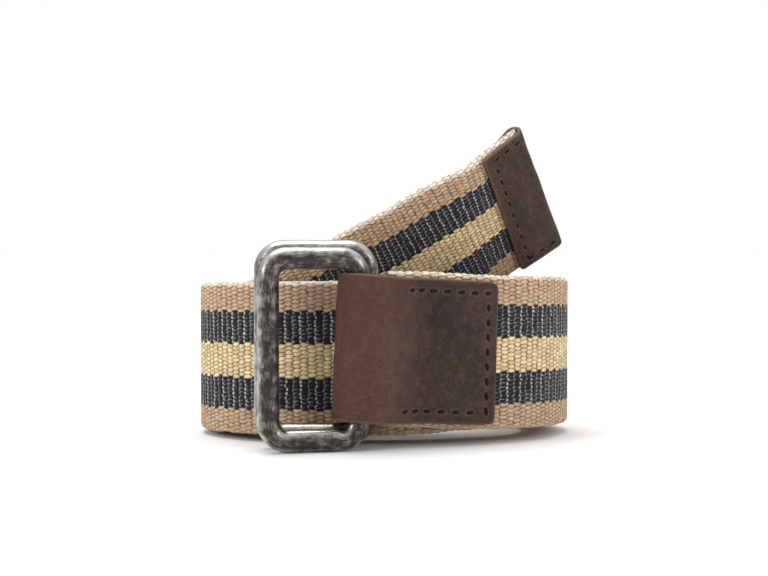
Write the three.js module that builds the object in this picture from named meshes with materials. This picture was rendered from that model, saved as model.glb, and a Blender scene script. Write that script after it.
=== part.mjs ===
// Reversible belt: striped webbing rolled on its edge, with a folded leather tab that holds two
// rectangular rings at the outer end, and a leather tip on the tail that rises out of the coil.
// Millimetres, +Z up. The front, where the rings are, faces -Y. The origin is the middle of the base.
import * as THREE from 'three';

// Driving dimensions: the strap
const WEBBING = { width: 38, thickness: 2.4, chamfer: 0.7 };
const LEATHER = { thickness: 2.0, chamfer: 0.5 };
const GAP = 0.3;

// The coil: each turn is an ellipse in plan, and one turn lies inside the last
const COIL = { halfLength: 48.6, halfDepth: 34.5, pitch: 2.8, turns: 4.6, stepsPerTurn: 40, yawDeg: 4 };

// The lower edges: level at the back, where the coil stands, and a little raised towards the front
const STANCE = { slope: 0.0229, levelFrom: 32.5 };

// The first turn lies on the tab's inner layer, then settles on the turn below it
const START = { turn: -0.004, spread: 2.3, holdsTo: 0.1, endsAt: 0.21 };

// How far a turn's edges stand above the stance: high at the outer end, which the tab holds up
const FIRST_TURN_LIFT = [
  { turn: 0.0, lift: 3.0 },
  { turn: 0.1, lift: 1.9 },
  { turn: 0.2, lift: 1.6 },
  { turn: 0.3, lift: 1.5 },
  { turn: 0.47, lift: 0.0 },
];

// The same for the rest of the strap, once in each turn: it touches the stance at the back
const TURN_LIFT = [
  { turn: 0.0, lift: 0.6 },
  { turn: 0.08, lift: 1.6 },
  { turn: 0.3, lift: 1.5 },
  { turn: 0.47, lift: 0.0 },
  { turn: 0.58, lift: 0.0 },
  { turn: 0.75, lift: 0.3 },
  { turn: 1.0, lift: 0.6 },
];

// The tail: centre line from the inner turn up to the tip, and how far its top edge leans forward
const TAIL = [
  { x: -32.4, y: 8.0, z: 19.6, leanDeg: 0 },
  { x: -34.0, y: -1.5, z: 19.9, leanDeg: 3 },
  { x: -29.5, y: -8.4, z: 21.4, leanDeg: 8 },
  { x: -20.0, y: -10.4, z: 27.0, leanDeg: 13 },
  { x: -3.5, y: -8.8, z: 36.2, leanDeg: 19 },
  { x: 8.0, y: -8.0, z: 42.3, leanDeg: 20 },
  { x: 21.5, y: -7.0, z: 50.8, leanDeg: 22 },
  { x: 30.3, y: -4.2, z: 57.05, leanDeg: 25.3 },
];
const TAIL_STEPS = 34;

// The leather tip, folded over the end of the webbing, which untwists a little towards it
const TIP = {
  length: 14.6,
  thickness: 1.1,
  chamfer: 0.275,
  direction: [0.8, 0.241, 0.549],
  leanDeg: 25.3,
  endLeanDeg: 21.6,
  straightSteps: 8,
  bendSteps: 6,
  runIn: 0.6,
  meetsAt: 0.8,
};

// The leather tab: one strip folded round the ring bars
const TAB = {
  height: 35.2,
  reach: 0.0825,
  foldX: -7.0,
  foldRadius: 6.9,
  bulgeEndsAt: 9,
  foldSteps: 14,
  faceSteps: 16,
  cornerRadius: 2.5,
  cornerSteps: 3,
};
const TAB_LIFT = [
  { x: -14, lift: 4.0 },
  { x: 4, lift: 2.8 },
  { x: 26, lift: 1.9 },
];

// The rings: round bar bent to a rectangle, one standing behind the other in the fold
const BAR = { diameter: 5.3, sides: 12, cornerSteps: 5, outerCorner: 7.3 };
const RING_BACK = { width: 30.0, height: 49.4, barX: -6.2, barY: -38.25, centreZ: 25.45, openDeg: 0 };
const RING_FRONT = { width: 27.4, height: 48.5, barX: -8.4, barY: -43.5, centreZ: 24.25, openDeg: 10 };

const UP = new THREE.Vector3(0, 0, 1);
const rad = THREE.MathUtils.degToRad;

// Reads a column from a short table, with a smooth step from each row to the next
function readTable(rows, key, column, at) {
  if (at <= rows[0][key]) return rows[0][column];
  for (let i = 1; i < rows.length; i += 1) {
    const from = rows[i - 1];
    const to = rows[i];
    if (at <= to[key]) {
      const part = THREE.MathUtils.smoothstep(at, from[key], to[key]);
      return THREE.MathUtils.lerp(from[column], to[column], part);
    }
  }
  return rows[rows.length - 1][column];
}

// Height of the webbing's lower edge over the floor, by its distance behind the coil's centre
function edgeHeight(y) {
  return Math.max(0, STANCE.slope * (STANCE.levelFrom - y));
}

// How far the strap's edges stand above the stance at a place on the coil
function turnLift(turn) {
  if (turn < FIRST_TURN_LIFT[FIRST_TURN_LIFT.length - 1].turn) {
    return readTable(FIRST_TURN_LIFT, 'turn', 'lift', turn);
  }
  return readTable(TURN_LIFT, 'turn', 'lift', turn % 1);
}

// A point of the coil's centre line: turn 0 is the outer end at the front, offset is outwards
function coilPoint(turn, offset = 0) {
  const spread = START.spread * (1 - THREE.MathUtils.smoothstep(turn, START.holdsTo, START.endsAt));
  const halfLength = COIL.halfLength - COIL.pitch * turn + spread;
  const halfDepth = COIL.halfDepth - COIL.pitch * turn + spread;
  const angle = 2 * Math.PI * turn;
  const x = halfLength * Math.sin(angle);
  const y = -halfDepth * Math.cos(angle);
  const outX = Math.sin(angle) / halfLength;
  const outY = -Math.cos(angle) / halfDepth;
  const size = Math.hypot(outX, outY);
  const z = edgeHeight(y) + WEBBING.width / 2 + turnLift(turn);
  return new THREE.Vector3(x + (offset * outX) / size, y + (offset * outY) / size, z);
}

// Gives each station its direction, its face normal and the way across the strap
function addFrames(stations) {
  stations.forEach((station, i) => {
    const before = stations[Math.max(0, i - 1)].point;
    const after = stations[Math.min(stations.length - 1, i + 1)].point;
    const along = station.along ?? after.clone().sub(before).normalize();
    const upright = UP.clone().addScaledVector(along, -UP.dot(along)).normalize();
    station.along = along;
    station.across = upright.applyAxisAngle(along, rad(station.leanDeg ?? 0));
    station.normal = along.clone().cross(station.across);
  });
  return stations;
}

// The four-cornered strip section with its edges taken off, seen along the strap
function stripSection(halfThickness, halfWidth, chamfer) {
  return [
    [-halfThickness, -halfWidth + chamfer],
    [-halfThickness, halfWidth - chamfer],
    [-halfThickness + chamfer, halfWidth],
    [halfThickness - chamfer, halfWidth],
    [halfThickness, halfWidth - chamfer],
    [halfThickness, -halfWidth + chamfer],
    [halfThickness - chamfer, -halfWidth],
    [-halfThickness + chamfer, -halfWidth],
  ];
}

// Joins rings of points into one closed surface, open ends capped or the last ring joined to the first
function loft(rings, closed) {
  const count = rings[0].length;
  const positions = rings.flat().flatMap((point) => point.toArray());
  const index = [];
  const spans = closed ? rings.length : rings.length - 1;
  for (let i = 0; i < spans; i += 1) {
    const here = i * count;
    const next = ((i + 1) % rings.length) * count;
    for (let j = 0; j < count; j += 1) {
      const k = (j + 1) % count;
      index.push(here + j, here + k, next + k, here + j, next + k, next + j);
    }
  }
  if (!closed) {
    const last = (rings.length - 1) * count;
    for (let j = 1; j < count - 1; j += 1) {
      index.push(0, j + 1, j, last, last + j, last + j + 1);
    }
  }
  const geometry = new THREE.BufferGeometry();
  geometry.setAttribute('position', new THREE.Float32BufferAttribute(positions, 3));
  geometry.setIndex(index);
  geometry.computeVertexNormals();
  return geometry;
}

// A strip of webbing or leather carried along its stations
function stripGeometry(stations, thickness, chamfer) {
  const rings = stations.map((station) => {
    const section = stripSection(thickness / 2, station.halfWidth, chamfer);
    return section.map(([out, side]) => station.point.clone()
      .addScaledVector(station.normal, out)
      .addScaledVector(station.across, side));
  });
  return loft(rings, false);
}

// The tip's own direction, and the point where it starts on the tail
const tipAlong = new THREE.Vector3(...TIP.direction).normalize();
const tailEnd = TAIL[TAIL.length - 1];
const tipStart = new THREE.Vector3(tailEnd.x, tailEnd.y, tailEnd.z);
const tipFoldRadius = WEBBING.thickness / 2 + GAP + TIP.thickness / 2;
const webbingInTip = TIP.length - TIP.thickness / 2 - tipFoldRadius;

// The middle of the webbing, a distance along the tip
function tipPoint(distance) {
  return tipStart.clone().addScaledVector(tipAlong, distance);
}

// How far the top edge leans forward, a distance along the tip
function tipLean(distance) {
  return THREE.MathUtils.lerp(TIP.leanDeg, TIP.endLeanDeg, distance / TIP.length);
}

// Stations of the webbing: the coil's turns, the tail that rises, and the straight end in the tip
function webbingStations() {
  const stations = [];
  const coilSteps = Math.round(COIL.turns * COIL.stepsPerTurn);
  for (let i = 0; i <= coilSteps; i += 1) {
    stations.push({ point: coilPoint(i === 0 ? START.turn : i / COIL.stepsPerTurn), leanDeg: 0 });
  }
  const joint = stations[coilSteps].point;
  const rise = new THREE.CatmullRomCurve3([
    stations[coilSteps - 1].point,
    joint,
    ...TAIL.map((row) => new THREE.Vector3(row.x, row.y, row.z)),
    tipPoint(TIP.length),
  ], false, 'centripetal');
  const spans = TAIL.length + 2;
  const leans = [0, 0, ...TAIL.map((row) => row.leanDeg), TIP.endLeanDeg];
  const first = 1 / spans;
  const last = (TAIL.length + TIP.meetsAt) / spans;
  for (let i = 1; i <= TAIL_STEPS; i += 1) {
    const at = THREE.MathUtils.lerp(first, last, i / TAIL_STEPS);
    const row = Math.min(Math.floor(at * spans), spans - 1);
    const leanDeg = THREE.MathUtils.lerp(leans[row], leans[row + 1], at * spans - row);
    stations.push({ point: rise.getPoint(at), leanDeg });
  }
  for (let i = 0; i <= TIP.straightSteps; i += 1) {
    const distance = THREE.MathUtils.lerp(-TIP.runIn, webbingInTip, i / TIP.straightSteps);
    stations.push({ point: tipPoint(distance), leanDeg: tipLean(distance), along: tipAlong });
  }
  stations.forEach((station) => {
    station.halfWidth = WEBBING.width / 2;
  });
  return addFrames(stations);
}

// The tip's strip: forward along the front face, round the end of the webbing, and back behind it
function tipStations() {
  const upright = UP.clone().addScaledVector(tipAlong, -UP.dot(tipAlong)).normalize();
  const stations = [];
  const add = (distance, out, angle) => {
    const across = upright.clone().applyAxisAngle(tipAlong, rad(tipLean(distance)));
    const normal = tipAlong.clone().cross(across);
    stations.push({
      point: tipPoint(distance).addScaledVector(normal, out),
      normal: normal.applyAxisAngle(across, angle),
      across,
      halfWidth: WEBBING.width / 2,
    });
  };
  for (let i = 0; i < TIP.straightSteps; i += 1) {
    add((webbingInTip * i) / TIP.straightSteps, tipFoldRadius, 0);
  }
  for (let i = 0; i <= TIP.bendSteps; i += 1) {
    const angle = (Math.PI * i) / TIP.bendSteps;
    add(webbingInTip + tipFoldRadius * Math.sin(angle), tipFoldRadius * Math.cos(angle), angle);
  }
  for (let i = TIP.straightSteps - 1; i >= 0; i -= 1) {
    add((webbingInTip * i) / TIP.straightSteps, -tipFoldRadius, Math.PI);
  }
  return stations;
}

// Height of the tab's middle over the floor
function tabHeight(x, y) {
  return edgeHeight(y) + WEBBING.width / 2 + readTable(TAB_LIFT, 'x', 'lift', x);
}

// Half height of the tab near its free ends, whose corners are round
function tabHalfHeight(fromEnd) {
  const inside = Math.max(0, TAB.cornerRadius - fromEnd);
  const drop = TAB.cornerRadius - Math.sqrt(TAB.cornerRadius ** 2 - inside ** 2);
  return TAB.height / 2 - drop;
}

// Stations of the tab: front layer from its right end to the bulge, the fold, and the back layer
function tabStations() {
  const layer = WEBBING.thickness / 2 + GAP + LEATHER.thickness / 2;
  const backY = coilPoint(0, -layer).y;
  const foldY = backY - TAB.foldRadius;
  const turnPerMm = 1 / (2 * Math.PI * (COIL.halfLength + START.spread));
  const foldTurn = TAB.foldX * turnPerMm;
  const bulge = coilPoint(foldTurn, layer).y - (foldY - TAB.foldRadius);
  const front = [];
  const back = [];
  const edges = [];
  for (let i = 0; i < TAB.cornerSteps; i += 1) {
    edges.push(TAB.cornerRadius * (1 - Math.cos((Math.PI / 2) * (i / TAB.cornerSteps))));
  }
  const place = (list, turn, offset, halfHeight) => {
    const point = coilPoint(turn, offset);
    if (offset > 0) {
      point.y -= bulge * (1 - THREE.MathUtils.smoothstep(point.x, TAB.foldX, TAB.bulgeEndsAt));
    }
    point.z = tabHeight(point.x, point.y);
    list.push({ point, halfWidth: halfHeight });
  };
  [[front, layer, foldTurn], [back, -layer, 0]].forEach(([list, offset, lastTurn]) => {
    edges.forEach((fromEnd) => {
      place(list, TAB.reach - fromEnd * turnPerMm, offset, tabHalfHeight(fromEnd));
    });
    const begin = TAB.reach - TAB.cornerRadius * turnPerMm;
    for (let i = 0; i < TAB.faceSteps; i += 1) {
      const turn = THREE.MathUtils.lerp(begin, lastTurn, i / TAB.faceSteps);
      place(list, turn, offset, TAB.height / 2);
    }
  });
  const fold = [];
  for (let i = 0; i <= TAB.foldSteps; i += 1) {
    const angle = (Math.PI * i) / TAB.foldSteps;
    const x = TAB.foldX - TAB.foldRadius * Math.sin(angle);
    const y = foldY - TAB.foldRadius * Math.cos(angle);
    fold.push({ point: new THREE.Vector3(x, y, tabHeight(x, y)), halfWidth: TAB.height / 2 });
  }
  const stations = [...front, ...fold, ...back.reverse()];
  // The tab keeps upright edges, so its frames are worked out in plan
  stations.forEach((station, i) => {
    const before = stations[Math.max(0, i - 1)].point;
    const after = stations[Math.min(stations.length - 1, i + 1)].point;
    station.along = new THREE.Vector3(after.x - before.x, after.y - before.y, 0).normalize();
  });
  return addFrames(stations);
}

// A ring: the bar's centre line is a rectangle with round corners, held at its right-hand bar
function ringGeometry(ring) {
  const radius = BAR.diameter / 2;
  const halfWidth = ring.width / 2 - radius;
  const halfHeight = ring.height / 2 - radius;
  const bend = BAR.outerCorner - radius;
  const rings = [];
  const corners = [[1, 1], [-1, 1], [-1, -1], [1, -1]];
  corners.forEach(([sideX, sideZ], corner) => {
    const centreX = sideX * (halfWidth - bend);
    const centreZ = sideZ * (halfHeight - bend);
    for (let i = 0; i <= BAR.cornerSteps; i += 1) {
      const angle = (Math.PI / 2) * (corner + i / BAR.cornerSteps);
      const out = new THREE.Vector3(Math.cos(angle), 0, Math.sin(angle));
      const centre = new THREE.Vector3(centreX, 0, centreZ).addScaledVector(out, bend);
      const section = [];
      for (let j = 0; j < BAR.sides; j += 1) {
        const around = (2 * Math.PI * (j + 0.5)) / BAR.sides;
        section.push(centre.clone()
          .addScaledVector(out, radius * Math.cos(around))
          .add(new THREE.Vector3(0, radius * Math.sin(around), 0)));
      }
      rings.push(section);
    }
  });
  const geometry = loft(rings, true);
  geometry.translate(-halfWidth, 0, 0);
  return geometry;
}

const finishes = {
  webbing: new THREE.MeshStandardMaterial({ color: '#b3946c', roughness: 0.95, metalness: 0 }),
  leather: new THREE.MeshStandardMaterial({ color: '#55392e', roughness: 0.6, metalness: 0 }),
  metal: new THREE.MeshStandardMaterial({ color: '#7d7872', roughness: 0.35, metalness: 1 }),
};

function namedMesh(name, geometry, material) {
  const mesh = new THREE.Mesh(geometry, material);
  mesh.name = name;
  return mesh;
}

function ringMesh(name, ring) {
  const mesh = namedMesh(name, ringGeometry(ring), finishes.metal);
  mesh.position.set(ring.barX, ring.barY, ring.centreZ);
  mesh.rotation.z = rad(ring.openDeg);
  return mesh;
}

const coil = new THREE.Group();
coil.add(namedMesh('webbing', stripGeometry(webbingStations(), WEBBING.thickness, WEBBING.chamfer),
  finishes.webbing));
coil.add(namedMesh('leather_tab', stripGeometry(tabStations(), LEATHER.thickness, LEATHER.chamfer),
  finishes.leather));
coil.add(namedMesh('leather_tip', stripGeometry(tipStations(), TIP.thickness, TIP.chamfer),
  finishes.leather));
coil.add(ringMesh('ring_back', RING_BACK));
coil.add(ringMesh('ring_front', RING_FRONT));
coil.rotation.z = rad(COIL.yawDeg);

// The whole belt is moved so that the origin is the middle of its base
const belt = new THREE.Group();
belt.add(coil);
belt.updateMatrixWorld(true);
const box = new THREE.Box3().setFromObject(belt, true);
belt.position.set(-(box.min.x + box.max.x) / 2, -(box.min.y + box.max.y) / 2, -box.min.z);

export default belt;
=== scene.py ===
# Looks of a reversible belt: striped webbing rolled on its edge, a folded leather tab that holds two
# rings, and a leather tip. Shapes are worked out in millimetres in the coil's own frame, then placed.

import logging
import math
from dataclasses import dataclass, field
from enum import Enum

import bmesh
import bpy
import numpy as np
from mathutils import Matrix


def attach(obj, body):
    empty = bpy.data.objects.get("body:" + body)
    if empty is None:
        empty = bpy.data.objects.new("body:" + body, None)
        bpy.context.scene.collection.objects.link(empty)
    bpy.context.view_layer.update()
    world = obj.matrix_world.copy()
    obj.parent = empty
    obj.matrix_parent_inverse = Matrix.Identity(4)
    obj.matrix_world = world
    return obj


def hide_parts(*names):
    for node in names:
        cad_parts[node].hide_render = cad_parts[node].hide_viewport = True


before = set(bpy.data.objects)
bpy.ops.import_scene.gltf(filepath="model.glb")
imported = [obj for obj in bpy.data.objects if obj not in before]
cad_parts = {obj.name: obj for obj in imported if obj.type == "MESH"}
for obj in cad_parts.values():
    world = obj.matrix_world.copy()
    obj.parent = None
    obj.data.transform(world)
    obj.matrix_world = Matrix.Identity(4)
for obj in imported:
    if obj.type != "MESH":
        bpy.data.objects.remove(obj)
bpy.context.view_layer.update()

log = logging.getLogger("belt")
Array = np.ndarray
METRES_PER_MM = 0.001

# Points closer than this, in metres, are one point: it closes the poles
MERGE_DISTANCE = 2e-6


class Slot(Enum):
    """The record's material slots."""

    WEBBING = "webbing"
    LEATHER = "leather"
    METAL = "ring_metal"


# Shape helpers


def ease(value: Array, low: float, high: float) -> Array:
    """Goes from 0 at low to 1 at high along 3 t squared minus 2 t cubed.

    Args:
        value: places to read.
        low: where the step starts.
        high: where the step ends.

    Returns:
        The step at each place.
    """
    part = np.clip((value - low) / (high - low), 0.0, 1.0)
    return part * part * (3.0 - 2.0 * part)


def read_table(rows: tuple[tuple[float, float], ...], at: Array) -> Array:
    """Reads a short table, with the same eased step from each row to the next.

    Args:
        rows: pairs of place and value, in order.
        at: places to read.

    Returns:
        The value at each place.
    """
    table = np.array(rows)
    value = np.full(np.shape(at), table[0, 1])
    for before, after in zip(table[:-1], table[1:]):
        value = value + (after[1] - before[1]) * ease(at, before[0], after[0])
    return value


def unit(vectors: Array) -> Array:
    """Scales each row to length 1."""
    return vectors / np.linalg.norm(vectors, axis=-1, keepdims=True)


def ripples(u: Array, v: Array, seed: int) -> Array:
    """Slow unevenness: a third of the sum of six sine waves of seeded direction, length and phase.

    Args:
        u: first coordinate, in wave lengths.
        v: second coordinate, in wave lengths.
        seed: picks the waves.

    Returns:
        Values of about -1 to 1.
    """
    count = 6
    rng = np.random.default_rng(seed)
    turn = rng.uniform(0.0, 2.0 * math.pi, count)
    phase = rng.uniform(0.0, 2.0 * math.pi, count)
    pace = 2.0 * math.pi * rng.uniform(0.6, 1.7, count)
    waves = [
        np.sin(pace[i] * (u * math.cos(turn[i]) + v * math.sin(turn[i])) + phase[i]) for i in range(count)
    ]
    return 2.0 * sum(waves) / count


@dataclass
class Track:
    """A centre line with its frames: the way along it, the way across it and its face normal."""

    points: Array
    along: Array
    across: Array
    normal: Array
    travel: Array

    @classmethod
    def through(cls, points: Array, lean_deg: Array, level: bool = False) -> "Track":
        """Frames a centre line. Across is up, made square to along and turned about it by the lean.

        Args:
            points: closely spaced places along the line, n by 3.
            lean_deg: how far the top edge leans forward at each place.
            level: whether the edges stay upright, so the frames are worked out in plan.

        Returns:
            The framed line.
        """
        steps = np.gradient(points, axis=0)
        if level:
            steps[:, 2] = 0.0
        along = unit(steps)
        up = np.array([0.0, 0.0, 1.0])
        upright = unit(up - along * along[:, 2:3])
        beside = np.cross(along, upright)
        lean = np.radians(lean_deg)[:, None]
        across = upright * np.cos(lean) + beside * np.sin(lean)
        lengths = np.linalg.norm(np.diff(points, axis=0), axis=1)
        travel = np.concatenate([[0.0], np.cumsum(lengths)])
        return cls(points, along, across, np.cross(along, across), travel)

    def at(self, travel: Array) -> "Track":
        """Reads the line again at other distances.

        Args:
            travel: distances along the line.

        Returns:
            The line at those distances.
        """
        def read(values: Array) -> Array:
            """Reads each of the three coordinates."""
            return np.stack([np.interp(travel, self.travel, values[:, i]) for i in range(3)], 1)

        return Track(read(self.points), unit(read(self.along)), unit(read(self.across)),
                     unit(read(self.normal)), travel)

    def sweep(self, out: Array, side: Array) -> Array:
        """Carries a section along the line: point = centre + normal * out + across * side.

        Args:
            out: distance from the centre along the normal, station by section place.
            side: distance from the centre across, station by section place.

        Returns:
            A grid of points, station by section place by 3.
        """
        return (self.points[:, None, :] + self.normal[:, None, :] * out[..., None]
                + self.across[:, None, :] * side[..., None])


@dataclass(frozen=True)
class Section:
    """The section of a strip, round it from the back face over the top edge to the front face."""

    out: Array
    side: Array
    reach: Array
    edge: Array

    @classmethod
    def strip(cls, half_thickness: float, half_width: float, edge_depth: float, power: float,
              face_places: int, edge_places: int) -> "Section":
        """Two flat faces joined by edges.

        On an edge, out = thickness * sin ** power and side = face + depth * cos ** power.

        Args:
            half_thickness: half of the strip's thickness.
            half_width: half of its full width.
            edge_depth: how far the edge reaches past the flat face.
            power: 1 for a round edge, less for a squarer one.
            face_places: places on each face.
            edge_places: places inside each edge.

        Returns:
            The section, with reach, the distance from the middle over the surface, and edge, 1 on an edge.
        """
        face_side = half_width - edge_depth
        face = np.linspace(-face_side, face_side, face_places)
        angle = np.linspace(-math.pi / 2, math.pi / 2, edge_places + 2)[1:-1]
        bow = np.abs(np.cos(angle)) ** power
        tilt = np.sign(np.sin(angle)) * np.abs(np.sin(angle)) ** power
        over = face_side + edge_depth * (math.pi / 2 - np.abs(angle))
        flat = np.ones(face_places)
        out = half_thickness * np.concatenate([-flat, tilt, flat, -tilt])
        side = np.concatenate([face, face_side + edge_depth * bow, -face, -face_side - edge_depth * bow])
        reach = np.concatenate([face, over, -face, -over])
        edge = np.concatenate([0.0 * flat, bow, 0.0 * flat, bow])
        return cls(out, side, reach, edge)


# The coil's plan, from the same sizes as the part's source


@dataclass(frozen=True)
class CoilPlan:
    """Where the rolled strap runs: each turn is an ellipse in plan, and one turn lies inside the last."""

    half_length: float = 48.6
    half_depth: float = 34.5
    pitch: float = 2.8
    turns: float = 4.6
    yaw_deg: float = 4.0
    slope: float = 0.0229
    level_from: float = 32.5
    start_turn: float = -0.004
    spread: float = 2.3
    holds_to: float = 0.1
    ends_at: float = 0.21
    strap_width: float = 38.0
    first_turn_lift: tuple[tuple[float, float], ...] = (
        (0.0, 3.0), (0.1, 1.9), (0.2, 1.6), (0.3, 1.5), (0.47, 0.0),
    )
    turn_lift: tuple[tuple[float, float], ...] = (
        (0.0, 0.6), (0.08, 1.6), (0.3, 1.5), (0.47, 0.0), (0.58, 0.0), (0.75, 0.3), (1.0, 0.6),
    )
    origin: tuple[float, float, float] = (-0.7012, 8.7880, 0.0)

    def edge_height(self, y: Array) -> Array:
        """Height of the strap's lower edge over the floor."""
        return np.maximum(0.0, self.slope * (self.level_from - y))

    def point(self, turn: Array, offset: float = 0.0) -> Array:
        """A place on the coil: x = a sin, y = -b cos, with a and b less by the pitch each turn.

        Args:
            turn: turns from the outer end at the front.
            offset: distance outwards from the centre line.

        Returns:
            The places, n by 3.
        """
        loose = self.spread * (1.0 - ease(turn, self.holds_to, self.ends_at))
        a = self.half_length - self.pitch * turn + loose
        b = self.half_depth - self.pitch * turn + loose
        sine = np.sin(2.0 * math.pi * turn)
        cosine = np.cos(2.0 * math.pi * turn)
        outward = unit(np.stack([sine / a, -cosine / b], -1))
        x = a * sine
        y = -b * cosine
        later = read_table(self.turn_lift, turn % 1.0)
        lift = np.where(turn < self.first_turn_lift[-1][0], read_table(self.first_turn_lift, turn), later)
        z = self.edge_height(y) + self.strap_width / 2 + lift
        return np.stack([x + offset * outward[..., 0], y + offset * outward[..., 1], z], -1)

    def place(self, points: Array) -> Array:
        """Turns points by the coil's yaw, moves them to the shared frame and makes them metres.

        Args:
            points: places in the coil's own frame in millimetres.

        Returns:
            The places in the shared frame in metres.
        """
        yaw = math.radians(self.yaw_deg)
        turned = np.array(points, dtype=float)
        turned[..., 0] = points[..., 0] * math.cos(yaw) - points[..., 1] * math.sin(yaw)
        turned[..., 1] = points[..., 0] * math.sin(yaw) + points[..., 1] * math.cos(yaw)
        return (turned + np.array(self.origin)) * METRES_PER_MM


PLAN = CoilPlan()


def rise_through(knots: Array, steps: int) -> Array:
    """A smooth line through knots, with each span's pace the root of its length.

    Between knots 1 and 2 the line is the cubic whose slopes at its ends are those of the parabolas
    through knots 0, 1, 2 and 1, 2, 3.

    Args:
        knots: the places it passes, the first and last of which only give the slopes.
        steps: places for each span.

    Returns:
        The line's places, from the second knot to the last but one.
    """
    spans = []
    part = np.linspace(0.0, 1.0, steps, endpoint=False)[:, None]
    for p0, p1, p2, p3 in zip(knots[:-3], knots[1:-2], knots[2:-1], knots[3:]):
        d0, d1, d2 = (math.sqrt(np.linalg.norm(b - a)) for a, b in ((p0, p1), (p1, p2), (p2, p3)))
        slope1 = d1 * ((p1 - p0) / d0 - (p2 - p0) / (d0 + d1) + (p2 - p1) / d1)
        slope2 = d1 * ((p2 - p1) / d1 - (p3 - p1) / (d1 + d2) + (p3 - p2) / d2)
        cubic = 2.0 * p1 - 2.0 * p2 + slope1 + slope2
        square = 3.0 * p2 - 3.0 * p1 - 2.0 * slope1 - slope2
        spans.append(p1 + slope1 * part + square * part ** 2 + cubic * part ** 3)
    return np.concatenate(spans)


# Meshes


def make_object(name: str, points: Array, faces: Array,
                marks: dict[str, Array] | None = None) -> bpy.types.Object:
    """Puts points and four-cornered faces in a smooth mesh object, and closes its poles.

    Args:
        name: the object's name.
        points: places in metres, n by 3.
        faces: indices, four to a face.
        marks: vector values for each point, by attribute name.

    Returns:
        The object, at the origin.
    """
    mesh = bpy.data.meshes.new(name)
    mesh.vertices.add(len(points))
    mesh.vertices.foreach_set("co", np.ascontiguousarray(points, np.float32).ravel())
    mesh.loops.add(faces.size)
    mesh.loops.foreach_set("vertex_index", faces.astype(np.int32).ravel())
    mesh.polygons.add(len(faces))
    mesh.polygons.foreach_set("loop_start", np.arange(0, faces.size, 4, dtype=np.int32))
    mesh.update(calc_edges=True)
    for mark, values in (marks or {}).items():
        layer = mesh.attributes.new(mark, "FLOAT_VECTOR", "POINT")
        layer.data.foreach_set("vector", np.ascontiguousarray(values, np.float32).ravel())
    work = bmesh.new()
    work.from_mesh(mesh)
    bmesh.ops.remove_doubles(work, verts=work.verts, dist=MERGE_DISTANCE)
    for face in work.faces:
        face.smooth = True
    work.to_mesh(mesh)
    work.free()
    made = bpy.data.objects.new(name, mesh)
    bpy.context.scene.collection.objects.link(made)
    return made


def grid_faces(rows: int, around: int, closed: bool) -> Array:
    """Faces of a grid that is joined round its section, and also end to end where it is closed.

    Args:
        rows: sections along the grid.
        around: places round each section.
        closed: whether the last section joins the first.

    Returns:
        Indices, four to a face.
    """
    here = np.arange(rows if closed else rows - 1)[:, None] * around
    after = (np.arange(rows if closed else rows - 1)[:, None] + 1) % rows * around
    place = np.arange(around)[None, :]
    beside = (place + 1) % around
    corners = np.stack([here + place, here + beside, after + beside, after + place], -1)
    return corners.reshape(-1, 4)


def surface(name: str, grid: Array, marks: dict[str, Array], closed: bool = False) -> bpy.types.Object:
    """Makes an object of a grid of sections in the coil's own frame.

    Args:
        name: the object's name.
        grid: places in millimetres, section by place by 3.
        marks: vector values for each place, by attribute name.
        closed: whether the last section joins the first.

    Returns:
        The object.
    """
    rows, around = grid.shape[:2]
    flat = {mark: values.reshape(-1, 3) for mark, values in marks.items()}
    return make_object(name, PLAN.place(grid).reshape(-1, 3), grid_faces(rows, around, closed), flat)


def settle(piece: bpy.types.Object, finish: bpy.types.Material, body: str, slot: Slot, *nodes: str) -> None:
    """Gives a piece its material and its body, and hides the CAD nodes it stands for.

    Args:
        piece: the finished piece.
        finish: its material.
        body: the CAD body it rides on.
        slot: the record's material slot; not used.
        nodes: the CAD nodes it stands for.
    """
    piece.data.materials.append(finish)
    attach(piece, body)
    if nodes:
        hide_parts(*nodes)
    log.info("%s: %d faces on %s", piece.name, len(piece.data.polygons), body)


# Shader nodes


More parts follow.
